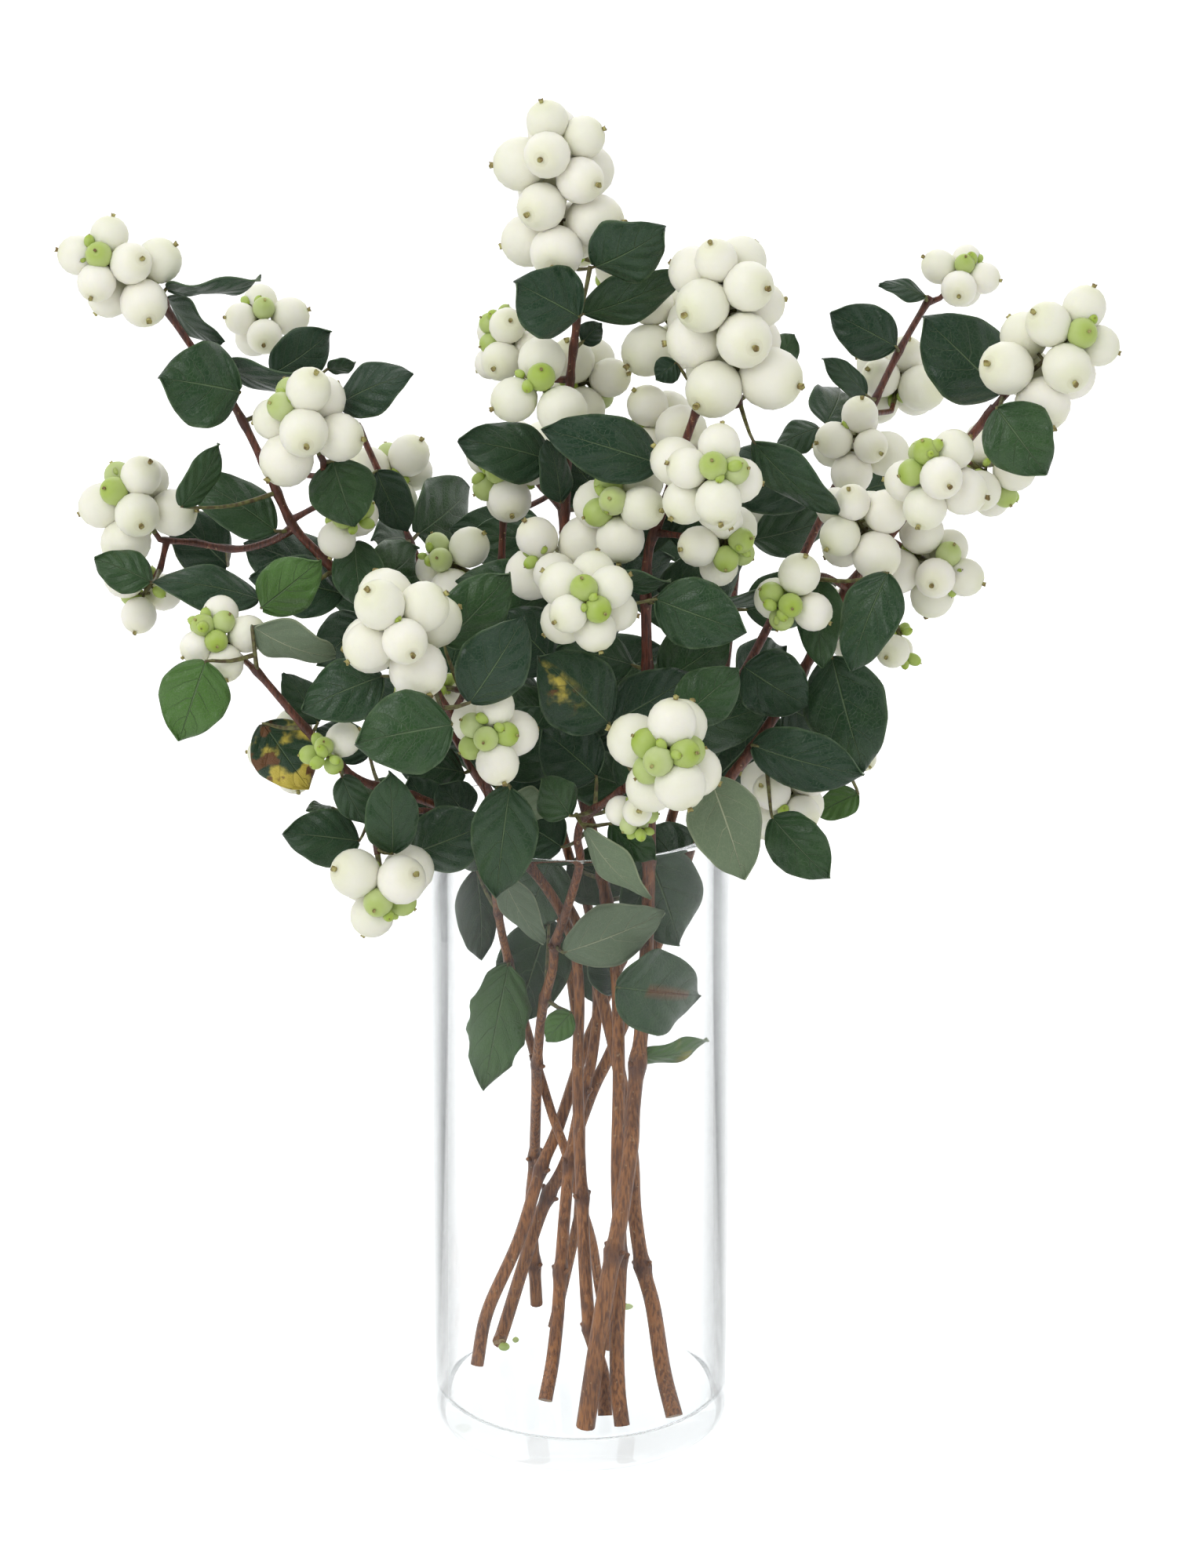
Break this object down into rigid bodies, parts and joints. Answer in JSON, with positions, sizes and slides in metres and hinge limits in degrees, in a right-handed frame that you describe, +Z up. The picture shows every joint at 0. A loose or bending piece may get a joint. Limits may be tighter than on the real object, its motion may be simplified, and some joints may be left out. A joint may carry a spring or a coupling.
{
  "type": "snowberry stems in a glass vase",
  "caption": "Cut snowberry stems with opposite leaves and bunches of white berries, standing in a clear glass cylinder vase.",
  "frame": {"origin": "middle of the vase's underside", "axes": "+Z up along the vase, +X to the viewer's right, -Y towards the viewer of the pictured side"},
  "size_m": [0.3011, 0.2048, 0.4045],
  "materials": {
    "glass": "clear, smooth",
    "plant": "satin leaves on smooth red-brown bark",
    "berry": "waxy white skin, unripe ones green"
  },
  "bodies": {
    "root": {"vase": "glass", "stem_back_left": "plant", "stem_crown": "plant", "stem_far_right": "plant", "stem_front": "plant", "stem_front_left": "plant", "stem_left_centre": "plant", "stem_left_long": "plant", "stem_left_low": "plant", "stem_right_back": "plant", "stem_right_centre": "plant", "bunch_back_centre": "berry", "bunch_back_left": "berry", "bunch_back_low": "berry", "bunch_back_right": "berry", "bunch_back_right_low": "berry", "bunch_back_top": "berry", "bunch_centre_front": "berry", "bunch_centre_green": "berry", "bunch_centre_left": "berry", "bunch_centre_side": "berry", "bunch_crown": "berry", "bunch_crown_below": "berry", "bunch_crown_left": "berry", "bunch_crown_low": "berry", "bunch_crown_right": "berry", "bunch_far_right_tip": "berry", "bunch_front_big": "berry", "bunch_front_left": "berry", "bunch_front_left_back": "berry", "bunch_front_low_left": "berry", "bunch_left_back_top": "berry", "bunch_left_front_top": "berry", "bunch_left_green": "berry", "bunch_left_inner": "berry", "bunch_left_low": "berry", "bunch_left_low_back": "berry", "bunch_left_middle": "berry", "bunch_left_tip": "berry", "bunch_left_under": "berry", "bunch_left_upper": "berry", "bunch_middle_back": "berry", "bunch_right_a": "berry", "bunch_right_b": "berry", "bunch_right_back_middle": "berry", "bunch_right_back_tip": "berry", "bunch_right_c": "berry", "bunch_right_centre_back": "berry", "bunch_right_centre_tip": "berry", "bunch_right_d": "berry", "bunch_right_e": "berry", "bunch_right_f": "berry", "bunch_right_front": "berry", "bunch_right_front_low": "berry", "bunch_right_g": "berry", "bunch_right_low": "berry", "bunch_right_under": "berry", "bunch_right_upper": "berry", "bunch_sprig_low": "berry"}
  },
  "joints": []
}
